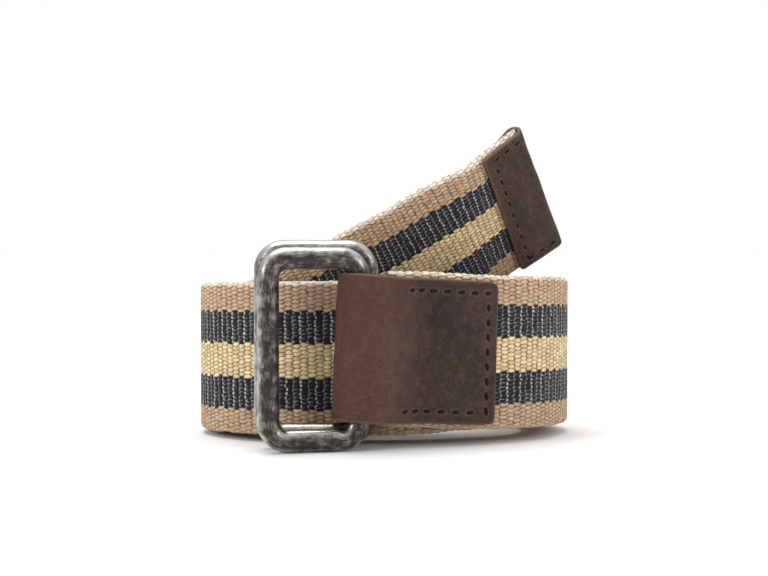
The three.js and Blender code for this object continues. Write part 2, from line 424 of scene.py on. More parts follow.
class NodeDesk:
    """Adds nodes to one tree and links them."""

    def __init__(self, tree: bpy.types.NodeTree) -> None:
        """Keeps the tree that the nodes go into."""
        self.tree = tree

    def node(self, kind: str, **settings: object) -> bpy.types.Node:
        """Adds a node and sets its options."""
        made = self.tree.nodes.new(kind)
        for key, value in settings.items():
            setattr(made, key, value)
        return made

    def feed(self, socket: bpy.types.NodeSocket, value: object) -> None:
        """Links a socket to an output, or sets its constant."""
        if isinstance(value, bpy.types.NodeSocket):
            self.tree.links.new(value, socket)
        else:
            socket.default_value = value

    def math(self, operation: str, *values: object) -> bpy.types.NodeSocket:
        """One step of arithmetic."""
        made = self.node("ShaderNodeMath", operation=operation)
        for socket, value in zip(made.inputs, values):
            self.feed(socket, value)
        return made.outputs[0]

    def times(self, first: object, second: object) -> bpy.types.NodeSocket:
        """The product of two values."""
        return self.math("MULTIPLY", first, second)

    def plus(self, first: object, second: object) -> bpy.types.NodeSocket:
        """The sum of two values."""
        return self.math("ADD", first, second)

    def minus(self, first: object, second: object) -> bpy.types.NodeSocket:
        """The first value less the second."""
        return self.math("SUBTRACT", first, second)

    def fade(self, value: object, low: float, high: float) -> bpy.types.NodeSocket:
        """A smooth step from 1 at low to 0 at high."""
        return self.minus(1.0, self.step(value, low, high))

    def step(self, value: object, low: float, high: float) -> bpy.types.NodeSocket:
        """A smooth step from 0 at low to 1 at high."""
        made = self.node("ShaderNodeMapRange", interpolation_type="SMOOTHSTEP")
        self.feed(made.inputs["Value"], value)
        self.feed(made.inputs["From Min"], low)
        self.feed(made.inputs["From Max"], high)
        return made.outputs[0]

    def span(self, value: object, low: float, high: float) -> bpy.types.NodeSocket:
        """Stretches 0 to 1 over low to high."""
        made = self.node("ShaderNodeMapRange")
        self.feed(made.inputs["Value"], value)
        self.feed(made.inputs["To Min"], low)
        self.feed(made.inputs["To Max"], high)
        return made.outputs[0]

    def mix(self, factor: object, first: object, second: object,
            blend: str = "MIX") -> bpy.types.NodeSocket:
        """Mixes two colours: the node's sockets for them are 6 and 7, and its colour output is 2."""
        made = self.node("ShaderNodeMix", data_type="RGBA", blend_type=blend)
        self.feed(made.inputs[0], factor)
        self.feed(made.inputs[6], first)
        self.feed(made.inputs[7], second)
        return made.outputs[2]

    def tint(self, colour: object, factor: object) -> bpy.types.NodeSocket:
        """Multiplies a colour by a factor."""
        made = self.node("ShaderNodeVectorMath", operation="SCALE")
        self.feed(made.inputs[0], colour)
        self.feed(made.inputs["Scale"], factor)
        return made.outputs[0]

    def noise(self, vector: object, scale: object, detail: float = 3.0,
              rough: float = 0.5) -> bpy.types.NodeSocket:
        """Cloudy noise of 0 to 1."""
        made = self.node("ShaderNodeTexNoise")
        self.feed(made.inputs["Vector"], vector)
        self.feed(made.inputs["Scale"], scale)
        made.inputs["Detail"].default_value = detail
        made.inputs["Roughness"].default_value = rough
        return made.outputs[0]

    def stripes(self, factor: object, stops: tuple[tuple[float, tuple], ...]) -> bpy.types.NodeSocket:
        """Bands of plain colour, each from its stop to the next."""
        made = self.node("ShaderNodeValToRGB")
        made.color_ramp.interpolation = "CONSTANT"
        marks = made.color_ramp.elements
        for i, (place, colour) in enumerate(stops):
            mark = marks[i] if i < 2 else marks.new(place)
            mark.position = place
            mark.color = colour
        self.feed(made.inputs[0], factor)
        return made.outputs[0]

    def vector(self, x: object, y: object, z: object = 0.0) -> bpy.types.NodeSocket:
        """Three values as a vector."""
        made = self.node("ShaderNodeCombineXYZ")
        for socket, value in zip(made.inputs, (x, y, z)):
            self.feed(socket, value)
        return made.outputs[0]

    def stretched(self, x: object, x_scale: float, y: object, y_scale: float) -> bpy.types.NodeSocket:
        """Two values as a flat vector, each times its scale."""
        return self.vector(self.times(x, x_scale), self.times(y, y_scale))

    def mark(self, name: str) -> list[bpy.types.NodeSocket]:
        """The three values of a piece's own attribute."""
        read = self.node("ShaderNodeAttribute", attribute_name=name)
        parts = self.node("ShaderNodeSeparateXYZ")
        self.feed(parts.inputs[0], read.outputs["Vector"])
        return list(parts.outputs)

    def place(self) -> bpy.types.NodeSocket:
        """Object coordinates, in metres."""
        return self.node("ShaderNodeTexCoord").outputs["Object"]

    def bump(self, height: object, depth_mm: float, strength: float = 1.0) -> bpy.types.NodeSocket:
        """A bump of a stated depth."""
        made = self.node("ShaderNodeBump")
        made.inputs["Distance"].default_value = depth_mm * METRES_PER_MM
        made.inputs["Strength"].default_value = strength
        self.feed(made.inputs["Height"], height)
        return made.outputs[0]

    def use(self, group: bpy.types.NodeTree, **values: object) -> bpy.types.Node:
        """Places a shared group with its own values."""
        made = self.node("ShaderNodeGroup", node_tree=group)
        for key, value in values.items():
            self.feed(made.inputs[key.replace("_", " ").capitalize()], value)
        return made


class GroupDesk(NodeDesk):
    """Builds a shared group with named inputs and outputs."""

    def __init__(self, name: str, inputs: dict[str, str], outputs: dict[str, str]) -> None:
        """Makes the group's sockets; each dict gives a name and Float, Vector or Color."""
        super().__init__(bpy.data.node_groups.new(name, "ShaderNodeTree"))
        for way, sockets in (("INPUT", inputs), ("OUTPUT", outputs)):
            for label, kind in sockets.items():
                self.tree.interface.new_socket(name=label, in_out=way, socket_type=f"NodeSocket{kind}")
        self.given = self.node("NodeGroupInput").outputs
        self.result = self.node("NodeGroupOutput").inputs


def weave_group() -> bpy.types.NodeTree:
    """The webbing's cells: ovals one pick long and one row high, shifted half a row in every second pick.

    With x and y from -1 to 1 over a cell, its height is the root of 1 - |x| ** 2.5 - |y| ** 2.1. Slow
    noise bends the picks and the rows, so that no two cells are alike.

    Returns:
        A group that gives each cell's height, its own random value and its middle across the strap, where
        the thread that runs across shows, as beads between the picks and as dashes between the rows, and
        the fine noise of the fibres.
    """
    along_power = 2.5
    across_power = 2.1
    bend_along = 1.7
    bend_across = 0.30
    above_zero = 40.0
    bead_phase = 0.25
    weaker_bead = 0.38
    desk = GroupDesk(
        "weave cells",
        dict.fromkeys(("Along", "Across", "Pick", "Row"), "Float"),
        dict.fromkeys(("Height", "Random", "Middle", "Bead", "Dash", "Fibre"), "Float"),
    )
    along, across, pick, row = (desk.given[key] for key in ("Along", "Across", "Pick", "Row"))
    drift = desk.noise(desk.stretched(along, 0.42, across, 0.95), 1.0, 3.0)
    waver = desk.times(desk.minus(drift, 0.5), bend_along)

    ahead = desk.math("DIVIDE", desk.plus(along, waver), pick)
    column = desk.math("FLOOR", ahead)
    from_column = desk.minus(desk.minus(ahead, column), 0.5)
    half = desk.times(desk.math("FLOORED_MODULO", column, 2.0), 0.5)
    level = desk.math("DIVIDE", desk.math("MULTIPLY_ADD", waver, bend_across, across), row)
    upward = desk.plus(level, half)
    line = desk.math("FLOOR", upward)
    from_line = desk.minus(desk.minus(upward, line), 0.5)
    middle = desk.times(desk.minus(desk.plus(line, 0.5), half), row)

    long_side = desk.math("ABSOLUTE", desk.times(from_column, 2.0))
    short_side = desk.math("ABSOLUTE", desk.times(from_line, 2.0))
    spent = desk.plus(desk.math("POWER", long_side, along_power),
                      desk.math("POWER", short_side, across_power))
    dome = desk.math("SQRT", desk.math("MAXIMUM", desk.minus(1.0, spent), 0.0))
    speck = desk.node("ShaderNodeTexWhiteNoise", noise_dimensions="2D")
    desk.feed(speck.inputs["Vector"], desk.vector(column, line))
    random = speck.outputs["Value"]

    seam = desk.math("FLOOR", desk.plus(ahead, 0.5))
    from_seam = desk.math("ABSOLUTE", desk.minus(ahead, seam))
    from_bead = desk.minus(desk.math("FRACT", desk.plus(level, above_zero + bead_phase)), 0.5)
    on_seam = desk.fade(from_seam, 0.05, 0.17)
    on_bead = desk.fade(desk.math("ABSOLUTE", from_bead), 0.20, 0.46)
    strength = desk.span(desk.math("FLOORED_MODULO", seam, 2.0), 1.0, weaker_bead)
    bead = desk.times(desk.times(on_seam, on_bead), strength)

    dash = desk.times(desk.step(short_side, 0.55, 0.9), desk.fade(from_column, -0.05, 0.2))
    dash = desk.times(dash, desk.step(random, 0.15, 0.8))
    fibre = desk.noise(desk.stretched(along, 2.2, across, 5.5), 1.6, 2.0)
    made = {"Height": dome, "Random": random, "Middle": middle, "Bead": bead, "Dash": dash, "Fibre": fibre}
    for label, value in made.items():
        desk.feed(desk.result[label], value)
    return desk.tree


def patches_group() -> bpy.types.NodeTree:
    """Uneven rubbing and tarnish: two sizes of cloudy noise, one inside the other.

    Returns:
        A group that gives soft patches and fine streaks, each 0 to 1.
    """
    desk = GroupDesk("rubbed patches", {"Vector": "Vector", "Scale": "Float", "Fine scale": "Float"},
                     {"Patch": "Float", "Streak": "Float"})
    wide = desk.noise(desk.given["Vector"], desk.given["Scale"], 4.0, 0.6)
    fine = desk.noise(desk.given["Vector"], desk.given["Fine scale"], 3.0, 0.65)
    desk.feed(desk.result["Patch"], desk.step(wide, 0.32, 0.68))
    desk.feed(desk.result["Streak"], desk.step(desk.times(fine, desk.plus(wide, 0.5)), 0.35, 0.75))
    return desk.tree


def grain_group() -> bpy.types.NodeTree:
    """Fine grain for hide, thread and cast metal: creases between small cells, with a finer noise on top.

    Returns:
        A group that gives the grain's height, 0 to 1.
    """
    desk = GroupDesk("fine grain", {"Vector": "Vector", "Cells": "Float", "Noise": "Float"},
                     {"Height": "Float"})
    cells = desk.node("ShaderNodeTexVoronoi", feature="DISTANCE_TO_EDGE")
    desk.feed(cells.inputs["Vector"], desk.given["Vector"])
    desk.feed(cells.inputs["Scale"], desk.given["Cells"])
    creases = desk.step(cells.outputs["Distance"], 0.0, 0.22)
    dust = desk.noise(desk.given["Vector"], desk.given["Noise"], 4.0, 0.6)
    desk.feed(desk.result["Height"], desk.plus(desk.times(creases, 0.5), desk.times(dust, 0.5)))
    return desk.tree


@dataclass
class SharedGroups:
    """The shader groups that more than one material uses, each built once."""

    weave: bpy.types.NodeTree = field(default_factory=weave_group)
    patches: bpy.types.NodeTree = field(default_factory=patches_group)
    grain: bpy.types.NodeTree = field(default_factory=grain_group)


def new_material(name: str) -> tuple[bpy.types.Material, NodeDesk, bpy.types.Node]:
    """Starts a material with its shader.

    Args:
        name: the material's name.

    Returns:
        The material, a desk for its nodes, and its shader.
    """
    made = bpy.data.materials.new(name)
    made.use_nodes = True
    desk = NodeDesk(made.node_tree)
    return made, desk, made.node_tree.nodes["Principled BSDF"]


Colour = tuple[float, float, float, float]
Range = tuple[float, float]

BLACK: Colour = (0.0, 0.0, 0.0, 1.0)
WHITE: Colour = (1.0, 1.0, 1.0, 1.0)


@dataclass(frozen=True)
class WebbingFinish:
    """Thick ribbed webbing: tan edges, two navy stripes and a straw-yellow middle. Sizes are in mm."""

    tan: Colour = (0.68, 0.465, 0.305, 1.0)
    tan_dark: Colour = (0.36, 0.195, 0.10, 1.0)
    navy: Colour = (0.011, 0.015, 0.030, 1.0)
    straw: Colour = (0.88, 0.68, 0.385, 1.0)
    # colour of the painted highlight on the selvedges
    selvedge_highlight: Colour = (0.95, 0.84, 0.71, 1.0)
    # colour of the painted shade in the grooves between cells
    groove_shade_tint: Colour = (0.22, 0.13, 0.08, 1.0)
    cross_thread: Colour = (0.80, 0.68, 0.53, 1.0)
    dash_thread: Colour = (0.36, 0.35, 0.37, 1.0)
    pick: float = 1.93
    row: float = 1.0
    first_boundary: float = 4.2
    second_boundary: float = 12.25
    table_reach: float = 25.0
    selvedge_from: Range = (17.7, 18.7)
    selvedge_highlight_strengths: Range = (0.12, 0.92)
    fleck_from: Range = (0.76, 1.10)
    fleck_strength: float = 0.7
    cell_shades: Range = (0.80, 1.14)
    fibre_contrast: float = 1.25
    # how far and how deep the painted groove shade reaches
    groove_shade_reach: float = 0.74
    groove_shade_depths: Range = (0.42, 1.08)
    dash_strength: float = 0.75
    bead_strengths: Range = (0.40, 0.9)
    roughness: float = 0.88
    specular: float = 0.25
    sheen: float = 0.14
    sheen_roughness: float = 0.4
    relief: float = 0.42

    def bands(self, desk: NodeDesk, from_middle: object, *places: float) -> bpy.types.NodeSocket:
        """White bands on black: one from each place to the next, and then every second one.

        Args:
            desk: the material's desk.
            from_middle: distance from the stripes' middle.
            places: where white starts and ends, in turn, in order across the strap.

        Returns:
            The bands.
        """
        across = desk.math("MULTIPLY_ADD", from_middle, 0.5 / self.table_reach, 0.5)
        stops = [(0.0, BLACK)]
        for i, place in enumerate(places):
            stops.append((0.5 + place / (2 * self.table_reach), BLACK if i % 2 else WHITE))
        return desk.stripes(across, tuple(stops))

    def material(self, groups: SharedGroups) -> bpy.types.Material:
        """Builds the cloth: each cell takes its stripe's colour, with painted shade towards its edges, in
        the grooves between cells.

        The cross threads lie over the stripes: as beads everywhere, and as dashes on the navy. The
        selvedges carry a painted highlight, the upper one most, where the top light falls.

        Args:
            groups: the shared shader groups.

        Returns:
            The material.
        """
        made, desk, shader = new_material("striped webbing")
        along, across, drop = desk.mark("strap")
        cells = desk.use(groups.weave, along=along, across=across, pick=self.pick, row=self.row).outputs
        first = self.first_boundary
        second = self.second_boundary
        from_middle = desk.plus(cells["Middle"], drop)
        is_navy = self.bands(desk, from_middle, -second, -first, first, second)
        is_straw = self.bands(desk, from_middle, -first, first)

        mottle = desk.noise(desk.stretched(along, 0.36, across, 1.0), 1.0, 3.0)
        fleck = desk.step(desk.math("MULTIPLY_ADD", cells["Random"], 0.5, mottle), *self.fleck_from)
        tan = desk.mix(desk.times(fleck, self.fleck_strength), self.tan, self.tan_dark)
        cloth = desk.mix(is_straw, tan, self.straw)
        cloth = desk.mix(is_navy, cloth, self.navy)
        # painted highlight on the selvedges, where the top light falls: strong on the upper edge, faint on
        # the lower
        border = desk.step(desk.math("ABSOLUTE", across), *self.selvedge_from)
        top_lit_share = desk.span(desk.step(across, -1.0, 1.0), *self.selvedge_highlight_strengths)
        cloth = desk.mix(desk.times(border, top_lit_share), cloth, self.selvedge_highlight)

        twist = desk.times(desk.minus(cells["Fibre"], 0.5), self.fibre_contrast)
        uneven = desk.plus(desk.span(cells["Random"], *self.cell_shades), twist)
        # painted shade in the grooves between cells: each cell darkens towards its edges, less on the
        # selvedges
        painted_groove_shade = desk.fade(cells["Height"], 0.0, self.groove_shade_reach)
        painted_groove_shade = desk.times(painted_groove_shade, desk.span(border, 1.0, 0.4))
        painted_groove_shade = desk.times(painted_groove_shade, desk.span(desk.step(mottle, 0.34, 0.62), *self.groove_shade_depths))
        groove_shade_colour = desk.mix(1.0, cloth, self.groove_shade_tint, "MULTIPLY")
        shaded = desk.tint(desk.mix(painted_groove_shade, cloth, groove_shade_colour), uneven)
        dashes = desk.times(cells["Dash"], desk.times(is_navy, self.dash_strength))
        shaded = desk.mix(dashes, shaded, self.dash_thread)
        beads = desk.times(cells["Bead"], desk.span(is_navy, *self.bead_strengths))
        desk.feed(shader.inputs["Base Color"], desk.mix(beads, shaded, self.cross_thread))

        shader.inputs["Roughness"].default_value = self.roughness
        shader.inputs["Specular IOR Level"].default_value = self.specular
        shader.inputs["Sheen Weight"].default_value = self.sheen
        shader.inputs["Sheen Roughness"].default_value = self.sheen_roughness
        height = desk.plus(cells["Height"], desk.times(cells["Fibre"], 0.25))
        height = desk.plus(height, desk.times(cells["Bead"], 0.5))
        desk.feed(shader.inputs["Normal"], desk.bump(height, self.relief))
        return made


@dataclass(frozen=True)
class LeatherFinish:
    """Dark brown oiled leather: greyer where it lies flat, redder at the fold with a painted sheen, and
    lighter along cut edges, partly a painted highlight.
    """

    dark: Colour = (0.022, 0.0125, 0.0105, 1.0)
    worn: Colour = (0.046, 0.025, 0.019, 1.0)
    # red tone of the fold, lightened for a painted sheen
    red_with_sheen: Colour = (0.088, 0.038, 0.026, 1.0)
    # paler tone for scratches, and painted highlight colour for cut edges and stitch-hole lips
    pale_wear_and_highlight: Colour = (0.19, 0.11, 0.072, 1.0)
    patch_scale: float = 62.0
    streak_scale: float = 520.0
    pore_scale: float = 1500.0
    dust_scale: float = 900.0
    patch_mix: Range = (0.22, 0.52)
    streak_strength: float = 0.20
    edge_reach: Range = (0.05, 0.75)
    edge_tone_and_highlight_strength: float = 0.65
    lip_rise: Range = (0.03, 0.18)
    lip_fall: Range = (0.20, 0.40)
    lip_highlight_strength: float = 0.22
    pit_from: Range = (0.42, 0.80)
    pit_shade: float = 0.06
    grain_shades: Range = (0.65, 1.28)
    roughness: Range = (0.62, 0.50)
    specular: float = 0.24
    grain_depth: float = 0.09

    def material(self, groups: SharedGroups) -> bpy.types.Material:
        """Builds the hide from its attribute: distance from a cut edge, nearness to the fold, and holes.

        Each hole gets painted shade in its pit, inside a slightly paler lip that is a painted highlight.

        Args:
            groups: the shared shader groups.

        Returns:
            The material.
        """
        made, desk, shader = new_material("oiled leather")
        place = desk.place()
        edge, fold, hole = desk.mark("hide")
        rub = desk.use(groups.patches, vector=place, scale=self.patch_scale,
                       fine_scale=self.streak_scale).outputs
        grain = desk.use(groups.grain, vector=place, cells=self.pore_scale,
                         noise=self.dust_scale).outputs["Height"]
        hide = desk.mix(desk.span(rub["Patch"], *self.patch_mix), self.dark, self.worn)
        # redder and lighter towards the fold: partly the hide's own tone, partly a painted sheen
        hide = desk.mix(fold, hide, self.red_with_sheen)
        hide = desk.mix(desk.times(rub["Streak"], self.streak_strength), hide, self.pale_wear_and_highlight)
        # lighter along the cut edges: partly the edge's own paler tone, partly a painted highlight
        near_edge = desk.fade(edge, *self.edge_reach)
        hide = desk.mix(desk.times(near_edge, self.edge_tone_and_highlight_strength), hide, self.pale_wear_and_highlight)
        # painted highlight on the lip round each stitch hole, and painted shade in its pit
        lip = desk.minus(desk.step(hole, *self.lip_rise), desk.step(hole, *self.lip_fall))
        hide = desk.mix(desk.times(lip, self.lip_highlight_strength), hide, self.pale_wear_and_highlight)
        pit = desk.step(hole, *self.pit_from)
        shade = desk.times(desk.span(grain, *self.grain_shades), desk.span(pit, 1.0, self.pit_shade))
        desk.feed(shader.inputs["Base Color"], desk.tint(hide, shade))
        roughness = desk.math("MAXIMUM", desk.span(rub["Patch"], *self.roughness), pit)
        desk.feed(shader.inputs["Roughness"], roughness)
        shader.inputs["Specular IOR Level"].default_value = self.specular
        desk.feed(shader.inputs["Normal"], desk.bump(grain, self.grain_depth, 0.9))
        return made


@dataclass(frozen=True)
class PewterFinish:
    """Antique pewter: darkened all over, then bright along the bar's outer and inner sides, partly rubbed
    and partly painted reflection lines, and painted lighter where it faces up.
    """

    bright: Colour = (0.585, 0.565, 0.53, 1.0)
    dark: Colour = (0.054, 0.046, 0.041, 1.0)
    radius: float = 2.65
    patch_scale: float = 430.0
    streak_scale: float = 1100.0
    cell_scale: float = 900.0
    dust_scale: float = 1400.0
    brushed_scale: float = 2.1
    brushed_stretch: float = 0.24
    bright_rims_from: Range = (0.55, 1.0)
    patch_share: float = 0.26
    brushed_share: float = 0.98
    # rims and upward faces: rubbing wear, painted reflection lines and a painted top highlight
    rim_wear_and_reflection: float = 0.36
    top_highlight: float = 0.54
    tarnish_from: Range = (-0.03, 0.72)
    roughness: Range = (0.24, 0.46)
    grain_depth: float = 0.03

    def material(self, groups: SharedGroups) -> bpy.types.Material:
        """Builds the metal: tarnish streaked along the bar, less on its rims, which are partly rubbed and
        partly painted reflection lines, and less where it faces up, as a painted top highlight.

        Args:
            groups: the shared shader groups.

        Returns:
            The material.
        """
        made, desk, shader = new_material("antique pewter")
        place = desk.place()
        outward, sideways, along = desk.mark("bar")
        upward, _, _ = desk.mark("facing_up")
        rub = desk.use(groups.patches, vector=place, scale=self.patch_scale,
                       fine_scale=self.streak_scale).outputs
        grain = desk.use(groups.grain, vector=place, cells=self.cell_scale,
                         noise=self.dust_scale).outputs["Height"]
        # bright rims along the bar's outer and inner sides: partly rubbing wear, partly painted reflection
        # lines
        rim = desk.math("DIVIDE", desk.math("ABSOLUTE", outward), self.radius)
        rubbed = desk.step(rim, *self.bright_rims_from)
        streaks = desk.vector(outward, sideways, desk.times(along, self.brushed_stretch))
        brushed = desk.noise(streaks, self.brushed_scale, 5.0, 0.75)
        stains = desk.plus(desk.times(rub["Patch"], self.patch_share),
                           desk.times(brushed, self.brushed_share))
        # less tarnish on the rims, and a painted highlight where the bar faces up, as top light
        worn = desk.plus(desk.times(rubbed, self.rim_wear_and_reflection), desk.times(upward, self.top_highlight))
        tarnish = desk.step(desk.minus(stains, worn), *self.tarnish_from)
        desk.feed(shader.inputs["Base Color"], desk.mix(tarnish, self.bright, self.dark))
        shader.inputs["Metallic"].default_value = 1.0
        desk.feed(shader.inputs["Roughness"], desk.span(tarnish, *self.roughness))
        desk.feed(shader.inputs["Normal"], desk.bump(grain, self.grain_depth, 0.7))
        return made


@dataclass(frozen=True)
class ThreadFinish:
    """Waxed sewing thread, nearly black."""

    colour: Colour = (0.004, 0.003, 0.002, 1.0)
    light: Colour = (0.016, 0.011, 0.008, 1.0)
    fibre_scale: float = 3200.0
    dust_scale: float = 2600.0
    roughness: float = 0.7
    specular: float = 0.15
    grain_depth: float = 0.08

    def material(self, groups: SharedGroups) -> bpy.types.Material:
        """Builds the thread, with a fine grain.

        Args:
            groups: the shared shader groups.

        Returns:
            The material.
        """
        made, desk, shader = new_material("waxed thread")
        grain = desk.use(groups.grain, vector=desk.place(), cells=self.fibre_scale,
                         noise=self.dust_scale).outputs["Height"]
        desk.feed(shader.inputs["Base Color"], desk.mix(grain, self.colour, self.light))
        shader.inputs["Roughness"].default_value = self.roughness
        shader.inputs["Specular IOR Level"].default_value = self.specular
        desk.feed(shader.inputs["Normal"], desk.bump(grain, self.grain_depth))
        return made


# The strap


@dataclass
class Strap:
    """The webbing: the coil's turns, the tail that rises out of them, and the straight end in the tip."""

    thickness: float = 2.4
    pick: float = 1.93
    fine_step: float = 0.325
    coarse_step: float = 0.65
    fine_turns: float = 1.06
    rib: float = 0.09
    knob: float = 0.26
    knob_mean: float = 0.6
    waver_depth: float = 0.10
    waver_length: float = 9.0
    edge_depth: float = 1.25
    edge_power: float = 0.9
    end_rounding: float = 0.6
    end_places: tuple[float, ...] = (0.5, 0.2, 0.06, 0.0)
    stripe_drop: float = 0.5
    stripe_drop_fades: float = 25.0
    tail_stretch: float = 0.2
    tail: tuple[tuple[float, float, float, float], ...] = (
        (-32.4, 8.0, 19.6, 0.0),
        (-34.0, -1.5, 19.9, 3.0),
        (-29.5, -8.4, 21.4, 8.0),
        (-20.0, -10.4, 27.0, 13.0),
        (-3.5, -8.8, 36.2, 19.0),
        (8.0, -8.0, 42.3, 20.0),
        (21.5, -7.0, 50.8, 22.0),
        (30.3, -4.2, 57.05, 25.3),
    )
    tip_direction: tuple[float, float, float] = (0.8, 0.241, 0.549)
    tip_length: float = 14.6
    tip_end_lean_deg: float = 21.6
    end_in_tip: float = 13.1

    def centre_line(self) -> tuple[Track, float, float]:
        """Joins the coil, the rise and the straight end.

        Returns:
            The framed line, and the distances where its fine outer turn ends and where the tail starts.
        """
        coil_steps = 12000
        rise_steps = 160
        end_steps = 120
        turn_before_end = 0.025
        turns = np.linspace(PLAN.start_turn, PLAN.turns, coil_steps)
        coil = PLAN.point(turns)
        rows = np.array(self.tail)
        forward = unit(np.array(self.tip_direction))
        tip_start = rows[-1, :3]
        before_end = PLAN.point(np.array([PLAN.turns - turn_before_end]))
        knots = np.vstack([before_end, coil[-1:], rows[:, :3], tip_start + forward * self.tip_length])
        rise = rise_through(knots, rise_steps)
        leans = np.concatenate([[0.0], rows[:, 3]])
        rise_lean = np.interp(np.arange(len(rise)) / rise_steps, np.arange(len(leans)), leans)
        straight = np.linspace(0.0, self.end_in_tip, end_steps)
        end = tip_start + straight[:, None] * forward
        end_lean = rows[-1, 3] + (self.tip_end_lean_deg - rows[-1, 3]) * straight / self.tip_length
        points = np.vstack([coil, rise[1:], end])
        lean = np.concatenate([np.zeros(len(coil)), rise_lean[1:], end_lean])
        line = Track.through(points, lean)
        fine_end = np.interp(self.fine_turns, turns, line.travel[:len(coil)])
        return line, fine_end, line.travel[len(coil) - 1]

    def build(self) -> bpy.types.Object:
        """Sweeps a round-edged section with a rib for every pick and knobbly edges.

        The faces stand out by the rib times the square of a sine of the pick, and the edges by the knob
        times its size less a mean, with the lower edge half a pick behind the upper one. Stations close
        in on both ends, where the strap's thickness falls to nothing.

        Returns:
            The strap, with its distance along and over its surface, and how far its stripes lie below
            its middle, as the attribute strap.
        """
        line, fine_end, tail_start = self.centre_line()
        total = line.travel[-1]
        travel = np.concatenate([
            np.arange(0.0, fine_end, self.fine_step),
            np.arange(fine_end, tail_start, self.coarse_step),
            np.arange(tail_start, total - self.end_places[0], self.fine_step),
            total - np.array(self.end_places),
        ])
        travel[:3] = (0.0, 0.15, 0.32)
        line = line.at(travel)
        section = Section.strip(self.thickness / 2, PLAN.strap_width / 2, self.edge_depth,
                                self.edge_power, face_places=13, edge_places=5)
        from_end = np.minimum(travel, total - travel)
        fullness = np.sqrt(np.clip(from_end / self.end_rounding, 0.0, 1.0))[:, None]
        phase = math.pi * travel[:, None] / self.pick
        rib = self.rib * np.sin(phase) ** 2 * (1.0 - section.edge)
        upper = section.side > 0.0
        beat = np.where(upper, np.abs(np.sin(phase)), np.abs(np.cos(phase)))
        waver = self.waver_depth * ripples(travel[:, None] / self.waver_length, 0.0 * section.side, 3)
        outwards = np.sign(section.side) * section.edge
        side = section.side + outwards * self.knob * (beat - self.knob_mean) + waver
        out = (section.out + np.sign(section.out) * rib) * fullness
        grid = line.sweep(out, side)
        woven = travel + self.tail_stretch * np.maximum(0.0, travel - tail_start)
        drop_ends_at = tail_start + self.stripe_drop_fades
        drop = self.stripe_drop * (1.0 - ease(travel, tail_start, drop_ends_at))
        strap = np.stack(np.broadcast_arrays(woven[:, None], section.reach[None, :], drop[:, None]), -1)
        log.info("strap length %.0f mm, tail %.0f mm of it", total, total - tail_start)
        return surface("belt_webbing", grid, {"strap": strap})


# The leather pieces and their stitches


@dataclass
class StitchRun:
    """A run of stitches laid on a strip, as distances along it and across it."""

    along: Array
    across: Array
    turned: Array

    @classmethod
    def line(cls, start: tuple[float, float], end: tuple[float, float], count: int) -> "StitchRun":
        """Stitches in one straight line.

        Args:
            start: the first stitch's distance along and across.
            end: the last one's.
            count: how many there are.

        Returns:
            The run.
        """
        part = np.linspace(0.0, 1.0, count)
        turned = np.full(count, abs(end[1] - start[1]) > abs(end[0] - start[0]))
        return cls(start[0] + (end[0] - start[0]) * part, start[1] + (end[1] - start[1]) * part, turned)

    @classmethod
    def joined(cls, *runs: "StitchRun") -> "StitchRun":
        """Several lines as one run."""
        keys = ("along", "across", "turned")
        return cls(*(np.concatenate([getattr(run, key) for run in runs]) for key in keys))

    def dimples(self, along: Array, across: Array, radius: float) -> Array:
        """How near each place is to a stitch: exp of minus the square of the distance over the radius.

        Args:
            along: distances along the strip, station by place.
            across: distances across it.
            radius: how wide a dimple is.

        Returns:
            Values of 0 to 1.
        """
        lengthwise = 0.55
        near = np.zeros(np.broadcast_shapes(along.shape, across.shape))
        for at, over, turned in zip(self.along, self.across, self.turned):
            stretch_along = 1.0 if turned else lengthwise
            stretch_across = lengthwise if turned else 1.0
            square = ((along - at) * stretch_along) ** 2 + ((across - over) * stretch_across) ** 2
            near = np.maximum(near, np.exp(-square / radius ** 2))
        return near


def stitch_meshes(name: str, line: Track, run: StitchRun, out: float, length: float,
                  width: float) -> bpy.types.Object:
    """One small bar for each stitch: middle + way * cos + (beside * cos + normal * sin) * sin.

    Its own sine and cosine are raised to powers below 1, so its ends are fuller than a ball's, and it
    slants a little from the line of the seam.

    Args:
        name: the object's name.
        line: the strip's centre line.
        run: where the stitches are.
        out: how far they are from the centre line.
        length: a stitch's length.
        width: the thread's width.

    Returns:
        The stitches in one object.
    """
    slant = math.radians(14.0)
    rows = 7
    around = 8
    end_power = 0.7
    girth_power = 0.6
    at = line.at(run.along)
    middle = at.points + at.normal * out + at.across * run.across[:, None]
    seam = np.where(run.turned[:, None], at.across, at.along)
    from_seam = np.cross(at.normal, seam)
    way = seam * math.cos(slant) + from_seam * math.sin(slant)
    beside = from_seam * math.cos(slant) - seam * math.sin(slant)
    theta = np.linspace(0.0, math.pi, rows)
    phi = np.linspace(0.0, 2.0 * math.pi, around + 1)[:-1]
    reach = np.sign(np.cos(theta)) * np.abs(np.cos(theta)) ** end_power
    girth = np.sin(theta) ** girth_power
    shape = (middle[:, None, None, :]
             + way[:, None, None, :] * (length / 2 * reach)[None, :, None, None]
             + beside[:, None, None, :] * (width / 2 * girth[:, None] * np.cos(phi))[None, :, :, None]
             + at.normal[:, None, None, :] * (width / 2 * girth[:, None] * np.sin(phi))[None, :, :, None])
    faces = grid_faces(rows, around, False)
    each = np.arange(len(middle))[:, None, None] * (rows * around)
    return make_object(name, PLAN.place(shape).reshape(-1, 3), (faces[None] + each).reshape(-1, 4)[:, ::-1])


